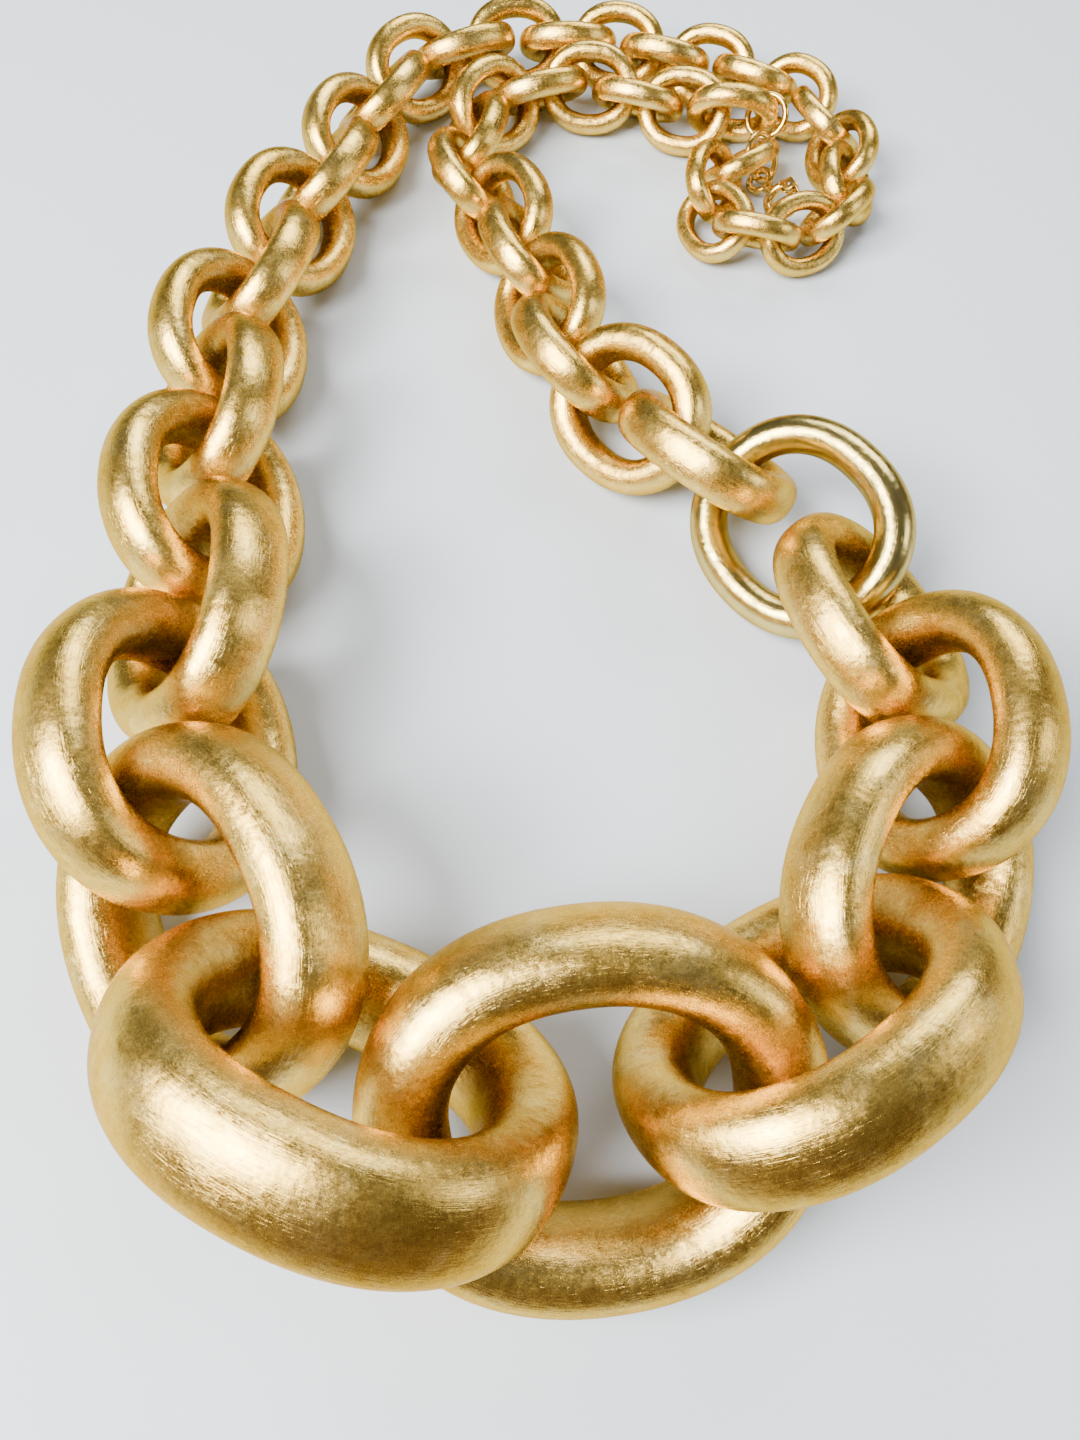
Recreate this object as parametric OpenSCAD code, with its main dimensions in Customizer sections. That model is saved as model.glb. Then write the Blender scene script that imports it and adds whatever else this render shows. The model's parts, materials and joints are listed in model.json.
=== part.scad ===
// Long graduated chain necklace, laid on a table with its small end links curled into a pile.
// Left and right are as seen with the big links nearest, looking along +Y.
// The table is the plane z = 0 and the middle of the necklace's box is the origin.

/* [Links] */
// Outside length of the largest link
link_max = 62; // [50:1:70]
// Outside length that the links shrink towards
link_min = 18; // [16:1:22]
// How many links it takes for the extra length to fall to about a third
fade = 6.7; // [5:0.1:10]
// Place of the largest size, in links to the left of the centre link
size_middle = 0.6; // [0:0.1:1]
// Outside width of a link as a share of its length
link_aspect = 0.87; // [0.8:0.01:0.95]
// Thickness of a link across its ring, as a share of its length
thick_share = 0.20; // [0.16:0.01:0.22]
// Thickness of a small link along its ring's axis, as a share of its length
wide_share = 0.235; // [0.2:0.005:0.26]
// What the biggest links add to that share
wide_extra = 0.045; // [0:0.005:0.05]

/* [Slim ring] */
// Outside length of the slimmer ring, the fifth link of the right strand
slim_len = 41; // [36:1:46]
// Its outside width as a share of its length
slim_aspect = 0.88; // [0.8:0.01:0.95]
// Its thickness across the ring as a share of its length
slim_thick = 0.165; // [0.14:0.005:0.2]
// Its thickness along the ring's axis as a share of its length
slim_wide = 0.17; // [0.14:0.005:0.2]

/* [Layout] */
// How far apart neighbours lie, as a share of their tight spacing
slack = 0.86; // [0.8:0.005:0.9]
// Tilt of the centre link
centre_tilt = 35; // [20:1:50]
// Where the centre link lies
centre_place = [6.7, -110.9]; // [-150:1:150]

/* [Clasp] */
// Radius of the hook's middle line
hook_r = 3.4; // [3:0.1:4.2]
// Distance from the eye's middle to the hook's middle
hook_at = 8.6; // [8:0.1:10]
// Thickness of the hook across its curve
hook_bar = 1.9; // [1.6:0.1:2.2]
// Thickness of the hook from face to face
clasp_t = 2.6; // [2.4:0.1:3]
// Angle from the clasp's length to the end of the hook's nose
nose_at = 20; // [15:1:30]
// Angle from the clasp's length to the lever's pin
pivot_at = 112; // [105:1:120]
// Diameter of the lever's pin
pin_d = 0.8; // [0.6:0.1:1]
// Play of the lever round its pin, on the radius
pin_play = 0.05; // [0.02:0.01:0.1]
// Wire diameter of the lever's spring
spring_wire = 0.3; // [0.2:0.05:0.4]
// Middle-line diameter of the clasp's eye
eye_d = 4.8; // [4.4:0.1:5.2]

/* [Small rings] */
// Outside diameter of the jump ring between the left strand and the clasp
jump_d = 11; // [10:0.5:12]
// Wire diameter of the jump ring and of the clasp's eye
ring_wire = 1.5; // [1.2:0.1:1.8]
// Outside diameter of the ring on the end of the right strand
end_ring_d = 10; // [9:0.5:11]
// Wire diameter of that ring
end_wire = 1.4; // [1.2:0.1:1.8]

/* [Hidden] */
// Headings from each link to the next, away from the centre link, in degrees from +X
left_dirs = [175, 135, 110, 90, 95, 95, 90, 80, 75, 70, 70, 70, 60, 35, 15,
  5, -5, -15, -20, -20, -35, -55, -75, -90, -110, -140, -175, -215, -270, -310];
right_dirs = [20, 50, 75, 105, 115, 135, 140, 125, 110, 105, 115, 120, 95, 65, 35,
  5, -15, -20, -10];
// How far each ring is tipped; plus raises the side toward the middle of the loop
left_tilts = [-50, 40, -50, 45, -45, 45, -45, 45, -45, 45, -45, 45, -45, 45, -45,
  45, -45, 45, -45, 45, -45, 45, -45, 45, -50, 45, -50, 35, -50, 45];
right_tilts = [-50, 40, -50, 40, -35, 45, -45, 45, -45, 45, -45, 45, -45, 50, -45,
  50, -45, 45, -65];
left_n = len(left_dirs);
right_n = len(right_dirs);
slim_at = -5;

// Links held a little above the table by their neighbours: [link, height]
raised = [[27, 1], [29, 1], [1, 1], [-1, 0.5], [-3, 0.5], [-5, 0.5]];

// Links are numbered from the centre link 0: 1, 2, 3 along the left strand, -1, -2, -3 along the right
function from_top(i) = max(abs(i - size_middle) - 0.5, 0);
function graded_len(i) = link_min + (link_max - link_min) * exp(-from_top(i) / fade);
function graded_wide(i) = wide_share + wide_extra * exp(-abs(i - size_middle) / 8);
function tenth(x) = round(10 * x) / 10;
function link_len(i) = i == slim_at ? slim_len : tenth(graded_len(i));
function link_width(i) = tenth((i == slim_at ? slim_aspect : link_aspect) * link_len(i));
function link_thick(i) = tenth((i == slim_at ? slim_thick : thick_share) * link_len(i));
function link_wide(i) = tenth((i == slim_at ? slim_wide : graded_wide(i)) * link_len(i));

function dirs(side) = side > 0 ? left_dirs : right_dirs;
function tilts(side) = side > 0 ? left_tilts : right_tilts;
function toward(a) = [cos(a), sin(a)];
function pitch(i, j) = slack * ((link_len(i) + link_len(j)) / 2 - link_thick(i) - link_thick(j));
function raise(i) = max([for (p = raised) p[0] == i ? p[1] : 0]);

// Place, heading and tilt of link k of a strand; side is 1 for left and -1 for right
function place(side, k) = k == 0 ? centre_place
  : place(side, k - 1) + pitch(side * (k - 1), side * k) * toward(dirs(side)[k - 1]);
function end_heading(d) = d[len(d) - 1] + (d[len(d) - 1] - d[len(d) - 2]) / 4;
function heading(side, k) = k == 0 ? (left_dirs[0] + right_dirs[0] + 180) / 2
  : k < len(dirs(side)) ? (dirs(side)[k - 1] + dirs(side)[k]) / 2
  : end_heading(dirs(side));
function tilt(side, k) = k == 0 ? centre_tilt : tilts(side)[k - 1];

// Height of a link's middle when its lowest edge is on the table or raised a little above it
function half_flat(i) = (link_wide(i) - link_thick(i)) / 2;
function half_across(i) = (link_width(i) - link_thick(i)) / 2;
function height(i, a) = link_thick(i) / 2 + half_flat(i) * cos(a) + half_across(i) * abs(sin(a)) + raise(i);
function middle(side, k) = concat(place(side, k), height(side * k, tilt(side, k)));

// Stadium section of a link: t across the ring, w along the ring's axis
module section_band(t, w) {
  union() {
    translate([0, (w - t) / 2]) circle(d = t, $fn = 48);
    translate([0, -(w - t) / 2]) circle(d = t, $fn = 48);
    square([t, w - t], center = true);
  }
}

module half_end(r, side) {
  rotate([0, 0, side]) rotate_extrude(angle = 180, $fn = 96) translate([r, 0]) children();
}

// Closed link, long along X, with its ring's axis along Z
module link_body(length, width, t, w) {
  k = (length - width) / 2;
  r = (width - t) / 2;
  union() {
    translate([k, 0, 0]) half_end(r, -90) section_band(t, w);
    translate([-k, 0, 0]) half_end(r, 90) section_band(t, w);
    for (s = [-1, 1]) translate([-k, s * r, 0]) rotate([90, 0, 90]) linear_extrude(2 * k) section_band(t, w);
  }
}

module link_shape(i) {
  link_body(link_len(i), link_width(i), link_thick(i), link_wide(i));
}

// A link in its place in the strand
module laid_link(side, k) {
  translate(middle(side, k)) rotate([0, 0, heading(side, k)]) rotate([-side * tilt(side, k), 0, 0])
    link_shape(side * k);
}

module centre_link() {
  color([0.78, 0.62, 0.38]) laid_link(1, 0);
}

module left_link(k) {
  color([0.78, 0.62, 0.38]) laid_link(1, k);
}

module right_link(k) {
  color([0.78, 0.62, 0.38]) laid_link(-1, k);
}

// Places of the small end pieces, each set from the piece it hangs on
jump_from_link = 6.5;
jump_dir = 35;
jump_z = 5.75;
jump_heading = -125;
jump_tilt = 55;
clasp_from_jump = 4.2;
clasp_dir = -95;
clasp_z = 3;
clasp_heading = -60;
clasp_rise = 5;
clasp_roll = 35;
end_from_link = 7.6;
end_dir = -5;
end_z = 8.2;
end_heading_z = -35;
end_roll = 50;
jump_place = place(1, left_n) + jump_from_link * toward(jump_dir);
clasp_place = jump_place + clasp_from_jump * toward(clasp_dir);
end_place = place(-1, right_n) + end_from_link * toward(end_dir);

// Sizes inside the clasp
pivot_place = [hook_at + hook_r * cos(pivot_at), hook_r * sin(pivot_at), 0];
body_from = pivot_at + 30;
slot_half = 0.65;
cheek_r = 1.5;
boss_r = 1.25;
boss_low = -0.6;
boss_high = 0.2;
lever_bar = 1.3;
lever_wide = 1.8;
lever_from = nose_at + 2;
lever_full = pivot_at - 29;
lever_reach = 4.15;
spring_z = 0.42;
spring_r = 0.75;

module wire_ring(d, wire) {
  rotate_extrude($fn = 96) translate([(d - wire) / 2, 0]) circle(d = wire, $fn = 48);
}

module left_jump_ring() {
  color([0.8, 0.66, 0.42]) translate(concat(jump_place, jump_z)) rotate([0, 0, jump_heading])
    rotate([-jump_tilt, 0, 0]) wire_ring(jump_d, ring_wire);
}

module right_end_ring() {
  color([0.8, 0.66, 0.42]) translate(concat(end_place, end_z)) rotate([0, 0, end_heading_z])
    rotate([end_roll, 0, 0]) wire_ring(end_ring_d, end_wire);
}

// Puts a clasp piece in its place; the eye's middle is at the origin and the hook lies along +X
module laid_clasp() {
  translate(concat(clasp_place, clasp_z)) rotate([0, 0, clasp_heading]) rotate([0, -clasp_rise, 0])
    rotate([clasp_roll, 0, 0]) children();
}

// Part of the hook's curve between two angles, with the given section
module hook_arc(a, b) {
  translate([hook_at, 0, 0]) rotate([0, 0, a]) rotate_extrude(angle = b - a, $fn = 96)
    translate([hook_r, 0]) children();
}

module cheek(z) {
  translate([0, 0, z]) {
    translate(pivot_place) cylinder(r = cheek_r, h = clasp_t / 2 - slot_half, $fn = 48);
    hook_arc(pivot_at, body_from + 1)
      translate([-hook_bar / 2, 0]) square([hook_bar, clasp_t / 2 - slot_half]);
  }
}

module clasp_body_shape() {
  difference() {
    union() {
      rotate_extrude($fn = 96) translate([eye_d / 2, 0]) circle(d = ring_wire, $fn = 48);
      translate([eye_d / 2, 0, 0]) rotate([0, 90, 0])
        cylinder(r = 1.2, h = hook_at - hook_r - eye_d / 2, $fn = 48);
      hook_arc(body_from, 360 + nose_at) section_band(hook_bar, clasp_t);
      cheek(slot_half);
      cheek(-clasp_t / 2);
    }
    translate(pivot_place) cylinder(d = pin_d, h = 2 * clasp_t, center = true, $fn = 48);
  }
}

module clasp_body() {
  color([0.8, 0.66, 0.42]) laid_clasp() clasp_body_shape();
}

// Bar that closes the hook's mouth, with a boss round the pin
module clasp_lever_shape() {
  difference() {
    union() {
      intersection() {
        hook_arc(lever_from, lever_full) section_band(lever_bar, lever_wide);
        translate(pivot_place) cylinder(r = lever_reach, h = 4, center = true, $fn = 96);
      }
      hook_arc(lever_full - 3, pivot_at)
        translate([-lever_bar / 2, boss_low]) square([lever_bar, boss_high - boss_low]);
      translate(pivot_place + [0, 0, boss_low]) cylinder(r = boss_r, h = boss_high - boss_low, $fn = 48);
    }
    translate(pivot_place) cylinder(r = pin_d / 2 + pin_play, h = 4, center = true, $fn = 48);
  }
}

module clasp_lever() {
  color([0.8, 0.66, 0.42]) laid_clasp() clasp_lever_shape();
}

module clasp_pin() {
  color([0.7, 0.7, 0.72]) laid_clasp() translate(pivot_place)
    cylinder(d = pin_d, h = clasp_t, center = true, $fn = 48);
}

// One turn of wire round the pin with a leg that bears on the hook
module clasp_spring() {
  color([0.7, 0.7, 0.72]) laid_clasp() translate(pivot_place + [0, 0, spring_z]) {
    rotate_extrude($fn = 48) translate([spring_r, 0]) circle(d = spring_wire, $fn = 24);
    rotate([0, 0, pivot_at + 90]) translate([0, spring_r, 0]) rotate([0, 90, 0])
      cylinder(d = spring_wire, h = 1.6, $fn = 24);
  }
}

centre_link();
for (k = [1:left_n])
  left_link(k);
for (k = [1:right_n])
  right_link(k);
left_jump_ring();
clasp_body();
clasp_lever();
clasp_spring();
clasp_pin();
right_end_ring();
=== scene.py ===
import bpy
import json
import math
import numpy as np
from mathutils import Matrix, Vector


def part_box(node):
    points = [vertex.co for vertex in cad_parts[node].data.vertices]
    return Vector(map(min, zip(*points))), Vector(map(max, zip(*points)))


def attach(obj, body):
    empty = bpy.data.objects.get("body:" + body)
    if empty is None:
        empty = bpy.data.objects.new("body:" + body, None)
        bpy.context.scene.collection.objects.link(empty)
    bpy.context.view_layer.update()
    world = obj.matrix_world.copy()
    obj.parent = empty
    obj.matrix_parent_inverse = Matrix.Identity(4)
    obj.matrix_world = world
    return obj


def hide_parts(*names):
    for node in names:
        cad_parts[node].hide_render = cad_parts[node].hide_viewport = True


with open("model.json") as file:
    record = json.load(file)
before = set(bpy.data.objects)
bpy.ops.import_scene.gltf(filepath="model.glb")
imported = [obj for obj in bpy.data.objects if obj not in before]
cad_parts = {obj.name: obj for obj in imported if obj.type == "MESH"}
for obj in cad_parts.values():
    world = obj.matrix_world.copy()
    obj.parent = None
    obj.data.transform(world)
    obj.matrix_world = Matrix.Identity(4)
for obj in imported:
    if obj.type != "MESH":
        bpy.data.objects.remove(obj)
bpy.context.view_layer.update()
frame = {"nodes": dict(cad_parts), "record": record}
MM = 0.001


# ---------------------------------------------------------------- the CAD link's own axes
def node_axes(name):
    """Centre, length axis, width axis, ring axis and the three extents of a link node, in metres."""
    o = frame["nodes"][name]
    m = np.array(o.matrix_world)
    v = np.array([p.co[:] for p in o.data.vertices]) @ m[:3, :3].T + m[:3, 3]
    c = (v.max(axis=0) + v.min(axis=0)) / 2
    f = np.array([p.center[:] for p in o.data.polygons]) @ m[:3, :3].T + m[:3, 3] - c
    a = np.array([p.area for p in o.data.polygons])
    vecs = np.linalg.eigh((f * a[:, None]).T @ f)[1]
    axes = [vecs[:, k] for k in range(3)]
    spans = [np.ptp((v - c) @ x) for x in axes]
    order = sorted(range(3), key=lambda k: -spans[k])
    x, y = axes[order[0]], axes[order[1]]
    x = x if x[0] + 0.3 * x[1] > 0 else -x
    z = np.cross(x, y)
    y, z = (y, z) if z[2] > 0 else (-y, -z)
    return c, x, y, z, [spans[k] for k in order]


# ---------------------------------------------------------------- materials
def new_material(name):
    m = bpy.data.materials.new(name)
    m.use_nodes = True
    m.node_tree.nodes.clear()
    return m, m.node_tree.nodes, m.node_tree.links


def node(nodes, kind, **values):
    n = nodes.new(kind)
    for k, v in values.items():
        if k in n.inputs.keys():
            n.inputs[k].default_value = v
        else:
            setattr(n, k, v)
    return n


def ramp(nodes, *stops):
    n = nodes.new("ShaderNodeValToRGB")
    e = n.color_ramp.elements
    while len(e) < len(stops):
        e.new(0.5)
    for k, (pos, col) in enumerate(stops):
        e[k].position = pos
        e[k].color = (*col, 1)
    return n


def gold_leaf(name, base, deep, pale, rough, specks_and_shade=1.0, brush=1.0):
    """Brushed gold leaf: fine scratches in patches, small dents, dark specks, paler and warmer patches."""
    m, n, l = new_material(name)
    out = node(n, "ShaderNodeOutputMaterial")
    b = node(n, "ShaderNodeBsdfPrincipled", Metallic=1.0)
    b.inputs["Specular Tint"].default_value = (0.70, 0.54, 0.30, 1)
    l.new(b.outputs[0], out.inputs[0])
    seed = node(n, "ShaderNodeAttribute", attribute_name="seed").outputs["Vector"]

    def feed(socket, value):
        """Links an output to a socket, or sets the socket to a plain value."""
        if isinstance(value, bpy.types.NodeSocket):
            l.new(value, socket)
        else:
            socket.default_value = value

    def seeded(place):
        """A texture place moved by the piece's own seed, so that no two pieces look the same."""
        k = node(n, "ShaderNodeVectorMath", operation="ADD")
        l.new(place, k.inputs[0])
        l.new(seed, k.inputs[1])
        return k.outputs[0]

    flat = seeded(node(n, "ShaderNodeUVMap", uv_map="mm").outputs[0])
    solid = seeded(node(n, "ShaderNodeAttribute", attribute_name="rest").outputs["Vector"])

    def stretched(sx, sy, tilt, detail, roughness=0.6):
        """Noise on the surface, drawn out along a direction tilted by an angle in radians."""
        mp = node(n, "ShaderNodeMapping")
        mp.inputs["Rotation"].default_value = (0, 0, tilt)
        mp.inputs["Scale"].default_value = (sx, sy, 1)
        l.new(flat, mp.inputs[0])
        t = node(n, "ShaderNodeTexNoise", Scale=1.0, Detail=detail, Roughness=roughness)
        l.new(mp.outputs[0], t.inputs["Vector"])
        return t.outputs[0]

    def cloud(scale, detail=4.0, roughness=0.6, distortion=0.0):
        """Noise through the solid."""
        t = node(n, "ShaderNodeTexNoise", Scale=scale, Detail=detail, Roughness=roughness)
        t.inputs["Distortion"].default_value = distortion
        l.new(solid, t.inputs["Vector"])
        return t.outputs[0]

    def level(source, low, high, to_low=0.0, to_high=1.0):
        """Spreads a texture between two limits; low above high turns it over."""
        limits = {"From Min": low, "From Max": high, "To Min": to_low, "To Max": to_high}
        k = node(n, "ShaderNodeMapRange", clamp=True, **limits)
        l.new(source, k.inputs[0])
        return k.outputs[0]

    def times(one, two):
        """An output multiplied by another one or by a plain number."""
        k = node(n, "ShaderNodeMath", operation="MULTIPLY")
        l.new(one, k.inputs[0])
        feed(k.inputs[1], two)
        return k.outputs[0]

    def shaded(source, *stops):
        k = ramp(n, *stops)
        l.new(source, k.inputs[0])
        return k.outputs[0]

    def mixed(blend, share, one, two):
        """A mix of two colours; each of the three is an output or a plain value."""
        k = node(n, "ShaderNodeMix", data_type="RGBA", blend_type=blend)
        for place, value in ((0, share), (6, one), (7, two)):
            feed(k.inputs[place], value)
        return k.outputs[2]

    along = stretched(0.10, 4.2, 0.04, 4.0, roughness=0.7)
    oblique = stretched(0.14, 3.6, 0.62, 4.0, roughness=0.7)
    across = stretched(0.20, 5.0, -0.85, 3.0, roughness=0.65)
    fine = stretched(0.40, 11.0, -0.15, 2.0)
    patch = cloud(0.16, distortion=0.8)
    blotch = cloud(0.55, detail=5.0, roughness=0.68, distortion=0.5)
    grain = cloud(3.2, detail=5.0, roughness=0.75)
    lump = cloud(0.35, detail=2.0)
    rub = cloud(0.24, detail=3.0, distortion=0.4)
    brushed = level(rub, 0.38, 0.62)
    crossed = level(rub, 0.56, 0.40)

    # colour: warm gold, with deeper and paler patches and uneven leaf
    tone = shaded(patch, (0.22, deep), (0.50, base), (0.80, pale))
    mottle = shaded(blotch, (0.36, (0.66, 0.60, 0.52)), (0.50, (1, 1, 1)), (0.66, (1.14, 1.12, 1.10)))
    colour = mixed("MULTIPLY", 0.30 * brush, tone, mottle)

    # dark specks in some places, and painted shade on the inner side of a link, where the hollow of the
    # ring falls dark
    cells = node(n, "ShaderNodeTexVoronoi", Scale=1.15, Randomness=1.0)
    l.new(solid, cells.inputs["Vector"])
    spot = shaded(cells.outputs["Distance"], (0.0, (1, 1, 1)), (0.10, (1, 1, 1)), (0.20, (0, 0, 0)))
    gate = shaded(lump, (0.50, (0, 0, 0)), (0.60, (1, 1, 1)))
    speck = times(times(spot, gate), 0.55 * specks_and_shade)
    colour = mixed("MIX", speck, colour, (deep[0] * 0.35, deep[1] * 0.28, deep[2] * 0.22, 1))
    inner = node(n, "ShaderNodeAttribute", attribute_name="inner").outputs["Fac"]
    # painted shade: the colour is darkened on the inner side of the ring, in place of the shade in its
    # hollow
    inner_shade = times(inner, 0.45 * specks_and_shade)
    colour = mixed("MIX", inner_shade, colour, (deep[0] * 0.36, deep[1] * 0.34, deep[2] * 0.3, 1))
    l.new(colour, b.inputs["Base Color"])

    # roughness: brushed, with rubbed smoother places
    dull = node(n, "ShaderNodeMath", operation="MULTIPLY_ADD")
    dull.inputs[1].default_value = 0.05 * brush
    l.new(level(blotch, 0.36, 0.64), dull.inputs[0])
    l.new(level(grain, 0.35, 0.68, rough - 0.03, rough + 0.06), dull.inputs[2])
    l.new(dull.outputs[0], b.inputs["Roughness"])

    # relief, with strength and depth in mm: soft dents, scratches, fine brushing, small pits
    relief = (
        (lump, 0.24, 0.6),
        (blotch, 0.10 * brush, 0.22),
        (times(along, brushed), 0.55 * brush, 0.12),
        (times(oblique, crossed), 0.36 * brush, 0.12),
        (level(across, 0.60, 0.70), 0.30 * brush, 0.05),
        (fine, 0.42 * brush, 0.05),
        (grain, 0.15, 0.10),
    )
    normal = None
    for height, strength, depth in relief:
        k = node(n, "ShaderNodeBump", Strength=strength, Distance=depth * MM)
        l.new(height, k.inputs["Height"])
        if normal is not None:
            l.new(normal, k.inputs["Normal"])
        normal = k.outputs[0]
    l.new(normal, b.inputs["Normal"])
    return m


leaf = gold_leaf("gold_leaf", (0.82, 0.555, 0.12), (0.73, 0.455, 0.08), (0.92, 0.69, 0.24), 0.23)
smooth = gold_leaf(
    "smooth_gold", (0.62, 0.50, 0.17), (0.52, 0.40, 0.12), (0.72, 0.61, 0.26), 0.18, specks_and_shade=0.3, brush=0.4
)
fitting = gold_leaf(
    "fitting_gold", (0.74, 0.52, 0.15), (0.62, 0.41, 0.10), (0.82, 0.62, 0.22), 0.2, specks_and_shade=0.2, brush=0.3
)


# ---------------------------------------------------------------- swept meshes
SEED_STEP = np.array([13.7, 7.9, 3.1])


def signed_power(v, e):
    return np.sign(v) * np.abs(v) ** e


def superellipse(m, power):
    """Angles round a section, from its inner side, and the two unit coordinates there."""
    ph = math.pi + np.linspace(0, 2 * math.pi, m, endpoint=False)
    return ph, signed_power(np.cos(ph), 2 / power), signed_power(np.sin(ph), 2 / power)


def travelled(points):
    """Distance along a row of points, from zero at the first one."""
    return np.concatenate([[0], np.cumsum(np.linalg.norm(np.diff(points, axis=0), axis=1))])


def sweep_faces(uv, closed_u, closed_v, base=0):
    """Quads over a grid of points, and the texture place in millimetres of each of their corners."""
    nu, nv = uv.shape[:2]
    last_u = 2 * uv[-1, 0, 0] - uv[-2, 0, 0]
    last_v = 2 * uv[0, -1, 1] - uv[0, -2, 1]
    faces, coords = [], []
    for i in range(nu if closed_u else nu - 1):
        for j in range(nv if closed_v else nv - 1):
            i2, j2 = (i + 1) % nu, (j + 1) % nv
            corners = (i * nv + j, i2 * nv + j, i2 * nv + j2, i * nv + j2)
            faces.append(tuple(base + k for k in corners))
            u0, v0 = uv[i, j]
            u1 = uv[i2, j, 0] if i2 else last_u
            v1 = uv[i, j2, 1] if j2 else last_v
            coords += [(u0, v0), (u1, v0), (u1, v1), (u0, v1)]
    return faces, coords


def add_piece(name, verts, faces, coords, rest, seed, material, node_name):
    """One smooth mesh that takes the place of a CAD node; rest holds the points in millimetres."""
    me = bpy.data.meshes.new(name)
    me.from_pydata([tuple(p) for p in verts], [], faces)
    layer = me.uv_layers.new(name="mm")
    layer.data.foreach_set("uv", np.array(coords, dtype=float).ravel())
    place = me.attributes.new("rest", "FLOAT_VECTOR", "POINT")
    place.data.foreach_set("vector", np.array(rest, dtype=float).ravel())
    tag = me.attributes.new("seed", "FLOAT_VECTOR", "POINT")
    tag.data.foreach_set("vector", np.tile(seed * SEED_STEP, len(verts)))
    me.update()
    for p in me.polygons:
        p.use_smooth = True
    me.materials.append(material)
    o = bpy.data.objects.new(name, me)
    bpy.context.collection.objects.link(o)
    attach(o, body_of[node_name])
    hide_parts(node_name)
    return o


OVAL_POWER = 2.2  # how square the oval of a link is; 2 is an ellipse
OVAL_DRIFT = 0.006  # unevenness of the oval itself

# Waves of the hand-formed unevenness: turns round the ring, turns round the section, share
WAVES = (
    (1, 0, 0.8),
    (2, 0, 0.7),
    (3, 0, 0.6),
    (2, 1, 0.6),
    (4, 1, 0.4),
    (5, 2, 0.35),
    (7, 1, 0.25),
    (9, 3, 0.2),
)


def wobble(rng, th, ph, amount):
    """Soft hand-formed unevenness, never above zero, periodic round the ring and round the section."""
    s = np.zeros((len(th), len(ph)))
    total = 0.0
    for m, q, a in WAVES:
        s += a * np.cos(m * th[:, None] + q * ph[None, :] + rng.uniform(0, 2 * math.pi))
        total += a
    return amount * (s / total - 1.0)


def make_link(node_name, number, material, thick, uneven, section, nu, nv):
    """An oval link on the CAD link's own axes; thick is the bar as a share of the length."""
    c, x, y, z, (length, width, wide) = node_axes(node_name)
    t = thick * length
    a, b = (length - t) / 2, (width - t) / 2
    rng = np.random.default_rng(1000 + number)
    th = np.linspace(0, 2 * math.pi, nu, endpoint=False)
    ce, se = np.cos(th), np.sin(th)
    e = 2 / OVAL_POWER
    px, py = a * signed_power(ce, e), b * signed_power(se, e)
    nx, ny = signed_power(ce, 2 - e) / a, signed_power(se, 2 - e) / b
    nn = np.hypot(nx, ny)
    nx, ny = nx / nn, ny / nn
    ph, sr, sz = superellipse(nv, section)
    k = 1 + wobble(rng, th, ph, uneven)
    rad = (t / 2) * sr[None, :] * k
    ax = (wide / 2) * sz[None, :] * k
    drift = 1 + wobble(rng, th, np.zeros(1), OVAL_DRIFT)
    X = px[:, None] * drift + nx[:, None] * rad
    Y = py[:, None] * drift + ny[:, None] * rad
    grid = c + X[..., None] * x + Y[..., None] * y + ax[..., None] * z
    arc = travelled(np.stack([px, py], axis=1)) / MM
    around = travelled(np.stack([sr * t / 2, sz * wide / 2], axis=1)) / MM
    uv = np.stack(np.meshgrid(arc, around, indexing="ij"), axis=-1)
    verts = grid.reshape(-1, 3)
    faces, coords = sweep_faces(uv, True, True)
    o = add_piece("link_" + node_name, verts, faces, coords, verts / MM, number, material, node_name)
    # inner side of the section, 1 towards the hole: the mask of the painted shade in the gold material
    inner = np.clip(-np.cos(ph), 0, 1) ** 1.5
    side = o.data.attributes.new("inner", "FLOAT", "POINT")
    side.data.foreach_set("value", np.tile(inner, nu))


body_of = {n: b for b, ns in frame["record"]["behaviour"]["bodies"].items() for n in ns}

# Bar as a share of the length, unevenness, and how square the section is (2 is round)
LEAF_BAR = (0.20, 0.022, 2.25)
SLIM_BAR = (0.165, 0.006, 2.0)
LARGE = 0.030  # metres; links beyond it get a finer mesh

links = [name for name in sorted(frame["nodes"]) if "_link" in name]
for number, name in enumerate(links, 1):
    lo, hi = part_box(name)
    steps = (128, 40) if max(hi[k] - lo[k] for k in range(3)) > LARGE else (80, 28)
    if name == "right_link_5":
        make_link(name, number, smooth, *SLIM_BAR, *steps)
    else:
        make_link(name, number, leaf, *LEAF_BAR, *steps)


# ---------------------------------------------------------------- small pieces
END_LEAST = 0.0004  # square of the smallest share that a rounded end closes to
NOTCH_DEPTH, NOTCH_WIDTH = 0.14, 2.6  # the closed joint of a ring: share of the wire, and degrees


def tube(points, radial, axial, ha, hb, m, power=2.3, round_start=0.0, round_end=0.0):
    """Swept section: points, radial and axial directions, half sizes ha and hb per step, in mm."""
    n = len(points)
    _, cr, sr = superellipse(m, power)
    ha, hb = np.array(ha, float) * np.ones(n), np.array(hb, float) * np.ones(n)
    step = travelled(points)
    k = np.ones(n)
    for length, run in ((round_start, step), (round_end, step[-1] - step)):
        if length:
            x = np.clip(run / length, 0, 1)
            k = k * np.sqrt(np.clip(1 - (1 - x) ** 2, END_LEAST, 1))
    grid = (
        points[:, None, :]
        + radial[:, None, :] * (cr[None, :, None] * (ha * k)[:, None, None])
        + axial[:, None, :] * (sr[None, :, None] * (hb * k)[:, None, None])
    )
    around = np.linspace(0, 2 * math.pi * (ha.mean() + hb.mean()) / 2, m, endpoint=False)
    uv = np.stack(np.meshgrid(step, around, indexing="ij"), axis=-1)
    return grid, uv


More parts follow.
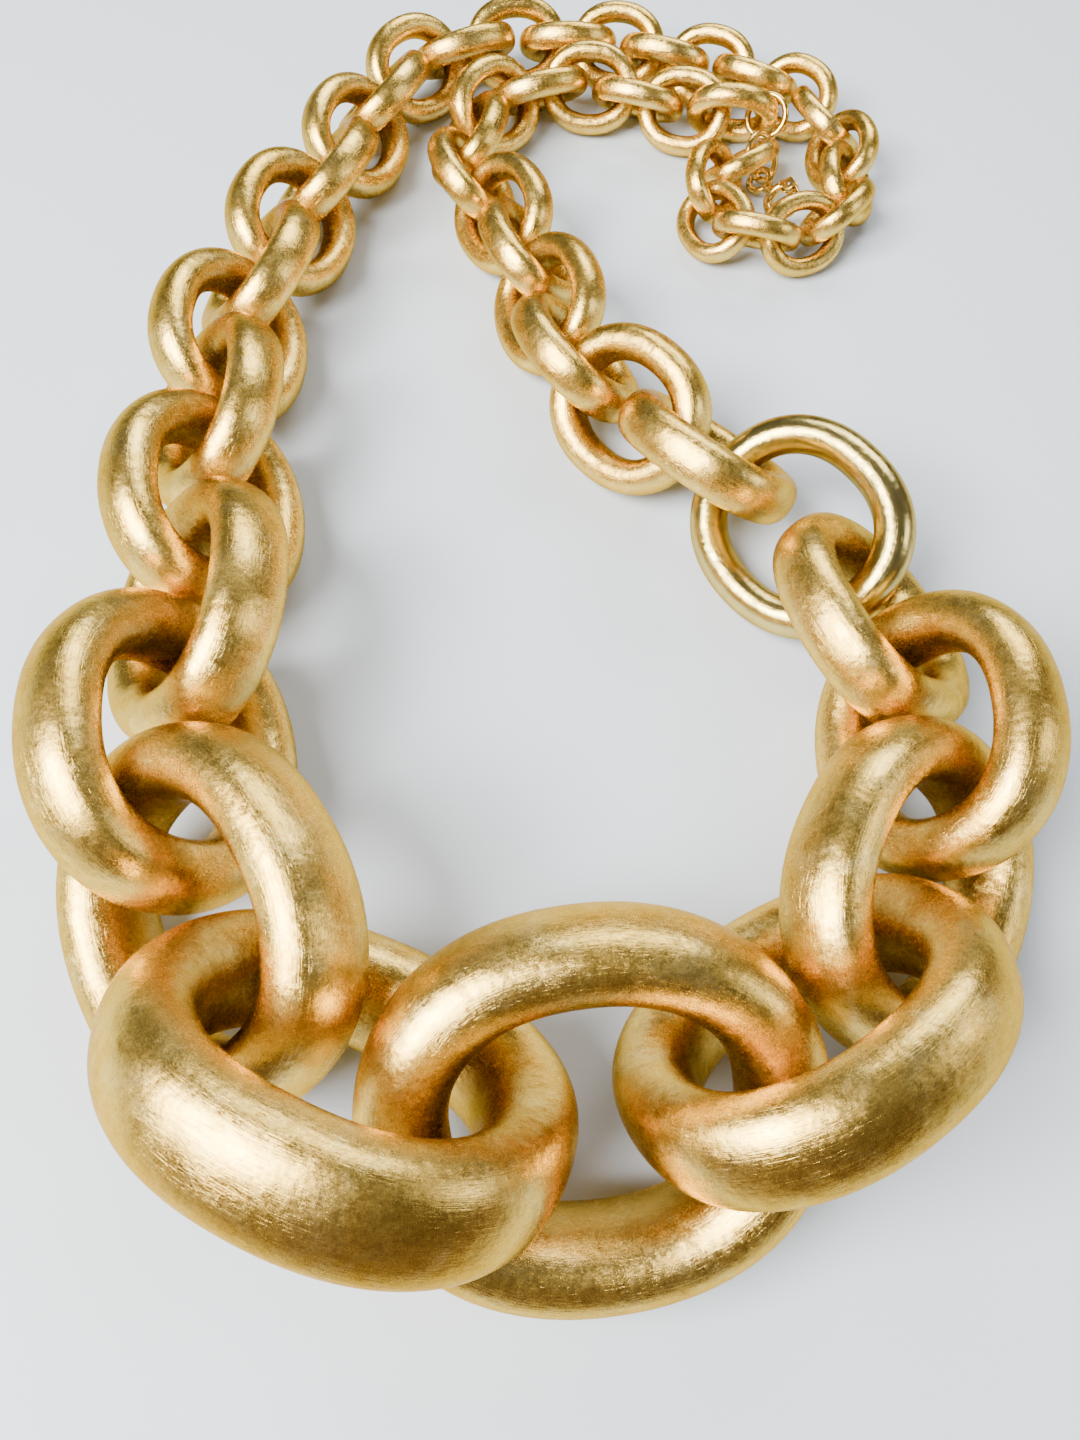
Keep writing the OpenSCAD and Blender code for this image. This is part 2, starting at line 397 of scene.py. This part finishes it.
def arc_points(centre, r, a0, a1, n):
    s = np.linspace(0, 1, n)
    a = np.radians(a0 + (a1 - a0) * s)
    out = np.stack([np.cos(a), np.sin(a), np.zeros(n)], axis=1)
    return np.array(centre) + r * out, out


def circle_grid(centre, r, wire, m=96, w=20, notch=None):
    pts, out = arc_points(centre, r, 0, 360, m + 1)
    pts, out = pts[:-1], out[:-1]
    half = np.full(m, wire / 2)
    if notch is not None:
        a = np.linspace(0, 360, m, endpoint=False)
        half = half * (1 - NOTCH_DEPTH * np.exp(-(((a - notch) / NOTCH_WIDTH) ** 2)))
    return tube(pts, out, np.tile([0, 0, 1.0], (m, 1)), half, half, m=w, power=2.0)


def turned(centre, profile, m=40):
    """A turned solid round the local Z axis from (radius, height) points."""
    a = np.linspace(0, 2 * math.pi, m, endpoint=False)
    p = np.array(profile, float)
    grid = np.stack(
        [
            centre[0] + np.cos(a)[:, None] * p[None, :, 0],
            centre[1] + np.sin(a)[:, None] * p[None, :, 0],
            centre[2] + np.zeros(m)[:, None] + p[None, :, 1],
        ],
        axis=-1,
    )
    uv = np.stack(np.meshgrid(a * p[:, 0].max(), travelled(p), indexing="ij"), axis=-1)
    return grid, uv


def rounded_disc(r_in, r, z0, z1, e):
    """Profile of a flat disc with rounded edges and a hole or a closed middle."""
    c = [(r_in, z0), (r - e, z0)]
    c += [(r - e + e * math.sin(t), z0 + e - e * math.cos(t)) for t in np.linspace(0.3, 1.57, 5)]
    c += [(r - e + e * math.cos(t), z1 - e + e * math.sin(t)) for t in np.linspace(0, 1.27, 5)]
    c += [(r - e, z1), (r_in, z1)]
    return c


def assemble(name, parts, matrix, material, seed, node_name):
    """One mesh from several swept grids in local millimetres, placed by a matrix in metres."""
    verts, faces, coords, rest = [], [], [], []
    for grid, uv, closed_u, closed_v in parts:
        more_faces, more_coords = sweep_faces(uv, closed_u, closed_v, len(verts))
        faces += more_faces
        coords += more_coords
        points = grid.reshape(-1, 3)
        verts += [tuple(matrix @ Vector(p * MM)) for p in points]
        rest += [tuple(p) for p in points]
    add_piece(name, verts, faces, coords, rest, seed, material, node_name)


def turn(axis, degrees):
    return Matrix.Rotation(math.radians(degrees), 4, axis)


def ring_place(name, heading, tip):
    lo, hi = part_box(name)
    return Matrix.Translation((Vector(lo) + Vector(hi)) / 2) @ turn("Z", heading) @ turn("X", tip)


steel = gold_leaf(
    "spring_steel", (0.52, 0.50, 0.47), (0.40, 0.38, 0.36), (0.62, 0.61, 0.59), 0.22, specks_and_shade=0.1, brush=0.2
)

# Piece, node, radius and wire in mm, then closed joint, heading and tip in degrees, and seed
RINGS = (
    ("jump_ring", "left_jump_ring", 4.75, 1.5, 90, -125, -55, 61),
    ("end_ring", "right_end_ring", 4.3, 1.4, 250, -35, 50, 62),
)
for piece, name, radius, wire, notch, heading, tip, seed in RINGS:
    g, uv = circle_grid((0, 0, 0), radius, wire, notch=notch)
    assemble(piece, [(g, uv, True, True)], ring_place(name, heading, tip), fitting, seed, name)

# The clasp lies along its own X, with the middle of its eye at CLASP_AT; all in millimetres
CLASP_AT = (46.38, 87.49, 3.0)
clasp_at = Matrix.Translation(Vector(CLASP_AT) * MM) @ turn("Z", -60) @ turn("Y", -5) @ turn("X", 35)
HOOK = np.array([8.6, 0, 0])
HOOK_R = 3.4
PIVOT_AT = 112  # angles round the hook, in degrees
HOOK_END = 380
LEVER_END = 37
FACE = 1.29  # heights above the middle plane
SLOT = 0.66
SPRING_Z = 0.42
up = np.array([0, 0, 1.0])


def at_angle(degrees):
    return np.array([math.cos(math.radians(degrees)), math.sin(math.radians(degrees)), 0])


PIVOT = HOOK + HOOK_R * at_angle(PIVOT_AT)

eye, eye_uv = circle_grid((0, 0, 0), 2.4, 1.5, m=64)
s = np.linspace(0, 1, 16)
pts = np.stack([2.5 + 3.0 * s, 0 * s, 0 * s], axis=1)
side = np.tile([0, 1.0, 0], (16, 1))
neck, neck_uv = tube(
    pts, side, np.tile(up, (16, 1)), 0.95 + 0.25 * (2 * s - 1) ** 2, 0.95 + 0.2 * s, m=24
)
pts, out = arc_points(HOOK, HOOK_R, PIVOT_AT + 30, HOOK_END, 96)
s = np.linspace(0, 1, 96)
hook, hook_uv = tube(
    pts,
    out,
    np.tile(up, (96, 1)),
    0.94 - 0.16 * s**3,
    FACE - 0.22 * s**3,
    m=28,
    power=2.5,
    round_start=0.25,
    round_end=0.9,
)
cheeks = []
for z0, z1 in ((SLOT, FACE), (-FACE, -SLOT)):
    g, uv = turned(PIVOT, rounded_disc(0.40, 1.48, z0, z1, 0.16))
    cheeks.append((g, uv, True, False))
    pts, out = arc_points(HOOK, HOOK_R, PIVOT_AT + 4, PIVOT_AT + 32, 16)
    lift = np.tile(up, (16, 1))
    g, uv = tube(pts + up * (z0 + z1) / 2, out, lift, 0.92, (z1 - z0) / 2, m=16, power=4.0)
    cheeks.append((g, uv, False, True))
assemble(
    "clasp_hook",
    [(eye, eye_uv, True, True), (neck, neck_uv, False, True), (hook, hook_uv, False, True)] + cheeks,
    clasp_at,
    fitting,
    63,
    "clasp_body",
)

pts, out = arc_points(HOOK, HOOK_R, PIVOT_AT, LEVER_END, 48)
s = np.linspace(0, 1, 48)
full = np.clip((s - 0.36) / 0.1, 0, 1)
full = full * full * (3 - 2 * full)
bar, bar_uv = tube(
    pts + up * (-0.2 * (1 - full))[:, None],
    out,
    np.tile(up, (48, 1)),
    0.62,
    0.39 + 0.49 * full,
    m=20,
    power=2.6,
    round_end=0.5,
)
boss, boss_uv = turned(PIVOT, rounded_disc(0.45, 1.24, -0.59, 0.19, 0.12))
lever_parts = [(bar, bar_uv, False, True), (boss, boss_uv, True, False)]
assemble("clasp_lever_bar", lever_parts, clasp_at, fitting, 64, "clasp_lever")

coil_at = PIVOT + up * SPRING_Z
coil, coil_uv = circle_grid(coil_at, 0.75, 0.29, m=40, w=10)
leg_dir = at_angle(PIVOT_AT + 90)
leg_out = np.array([-leg_dir[1], leg_dir[0], 0])
s = np.linspace(0, 1, 8)[:, None]
leg, leg_uv = tube(
    coil_at + leg_out * 0.735 + leg_dir * (1.6 * s),
    np.tile(leg_out, (8, 1)),
    np.tile(up, (8, 1)),
    0.145,
    0.145,
    m=10,
)
spring_parts = [(coil, coil_uv, True, True), (leg, leg_uv, False, True)]
assemble("lever_spring", spring_parts, clasp_at, steel, 65, "clasp_spring")
dome = [(0.01, 1.30), (0.22, 1.29), (0.35, 1.24), (0.395, 1.15), (0.398, 0)]
dome = [(x, -y) for x, y in dome] + dome[-2::-1]
g, uv = turned(PIVOT, dome, m=32)
assemble("lever_pin", [(g, uv, True, False)], clasp_at, steel, 66, "clasp_pin")


# ---------------------------------------------------------------- table, light and camera
def stage_material(name, colour, rough):
    m, n, l = new_material(name)
    out = node(n, "ShaderNodeOutputMaterial")
    b = node(n, "ShaderNodeBsdfPrincipled", Roughness=rough)
    t = node(n, "ShaderNodeTexNoise", Scale=9.0, Detail=4.0)
    r = ramp(n, (0.35, [c * 0.97 for c in colour]), (0.65, colour))
    l.new(t.outputs[0], r.inputs[0])
    l.new(r.outputs[0], b.inputs["Base Color"])
    l.new(b.outputs[0], out.inputs[0])
    return m


bpy.ops.mesh.primitive_plane_add(size=6, location=(0, 0, -0.0002))
table = bpy.context.object
table.name = "table"
table.data.materials.append(stage_material("table_pale", (0.555, 0.635, 0.755), 0.5))


def soft_light(name, place, aim, w, h, watts, colour):
    """A rectangular lamp at a place, turned to an aim; sizes in metres."""
    d = bpy.data.lights.new(name, "AREA")
    d.shape = "RECTANGLE"
    d.size, d.size_y = w, h
    d.energy = watts
    d.color = colour
    o = bpy.data.objects.new(name, d)
    bpy.context.collection.objects.link(o)
    o.location = place
    o.rotation_euler = (Vector(aim) - Vector(place)).to_track_quat("-Z", "Y").to_euler()


soft_light("key", (-0.50, -0.30, 0.70), (0, 0, 0), 0.60, 0.50, 36, (1, 0.935, 0.84))
soft_light("back", (0.25, 0.75, 0.75), (0, 0, 0), 0.8, 0.35, 9, (0.99, 0.97, 0.92))
soft_light("side", (0.9, -0.1, 0.45), (0, 0, 0.02), 0.35, 0.5, 3, (1, 0.98, 0.95))


def dark_card(name, place, w, h, turn_x, turn_z=0.0):
    """A dark board that shows only as a reflection and gives the metal its dark band."""
    me = bpy.data.meshes.new(name)
    corners = [(-w / 2, -h / 2, 0), (w / 2, -h / 2, 0), (w / 2, h / 2, 0), (-w / 2, h / 2, 0)]
    me.from_pydata(corners, [], [(0, 1, 2, 3)])
    me.materials.append(card_material)
    o = bpy.data.objects.new(name, me)
    bpy.context.collection.objects.link(o)
    o.location = place
    o.rotation_euler = (math.radians(turn_x), 0, math.radians(turn_z))
    o.visible_camera = False
    o.visible_shadow = False
    o.visible_diffuse = False


card_material = stage_material("card_dark", (0.060, 0.036, 0.018), 0.8)
dark_card("card_front", (0.05, -0.36, 0.13), 1.2, 0.26, 90)
dark_card("card_floor", (0, -0.40, 0.001), 1.4, 0.46, 0)
dark_card("card_right", (0.55, 0.05, 0.12), 0.8, 0.22, 90, 90)

world = bpy.data.worlds.new("studio")
bpy.context.scene.world = world
world.use_nodes = True
surround = world.node_tree.nodes["Background"]
surround.inputs["Color"].default_value = (0.83, 0.83, 0.84, 1)
surround.inputs["Strength"].default_value = 0.165

# The camera of the photo: angles in degrees, place in metres
VIEW_HEIGHT = 65.05
VIEW_DOWN = 62.89
VIEW_ROLL = 0.67
VIEW_FROM = (-0.0007, -0.1325, 0.1703)

cam = bpy.data.cameras.new("view")
cam.sensor_fit = "VERTICAL"
cam.sensor_height = 24
cam.lens = cam.sensor_height / 2 / math.tan(math.radians(VIEW_HEIGHT / 2))
cam.clip_start = 0.01
cam.dof.use_dof = False
viewer = bpy.data.objects.new("view", cam)
bpy.context.collection.objects.link(viewer)
down, roll = math.radians(VIEW_DOWN), math.radians(VIEW_ROLL)
ahead = Vector((0, math.cos(down), -math.sin(down)))
right, above = Vector((1, 0, 0)), Vector((0, math.sin(down), math.cos(down)))
rolled_right = right * math.cos(roll) + above * math.sin(roll)
rolled_above = above * math.cos(roll) - right * math.sin(roll)
pose = Matrix((rolled_right, rolled_above, -ahead)).transposed().to_4x4()
pose.translation = Vector(VIEW_FROM)
viewer.matrix_world = pose
bpy.context.scene.camera = viewer
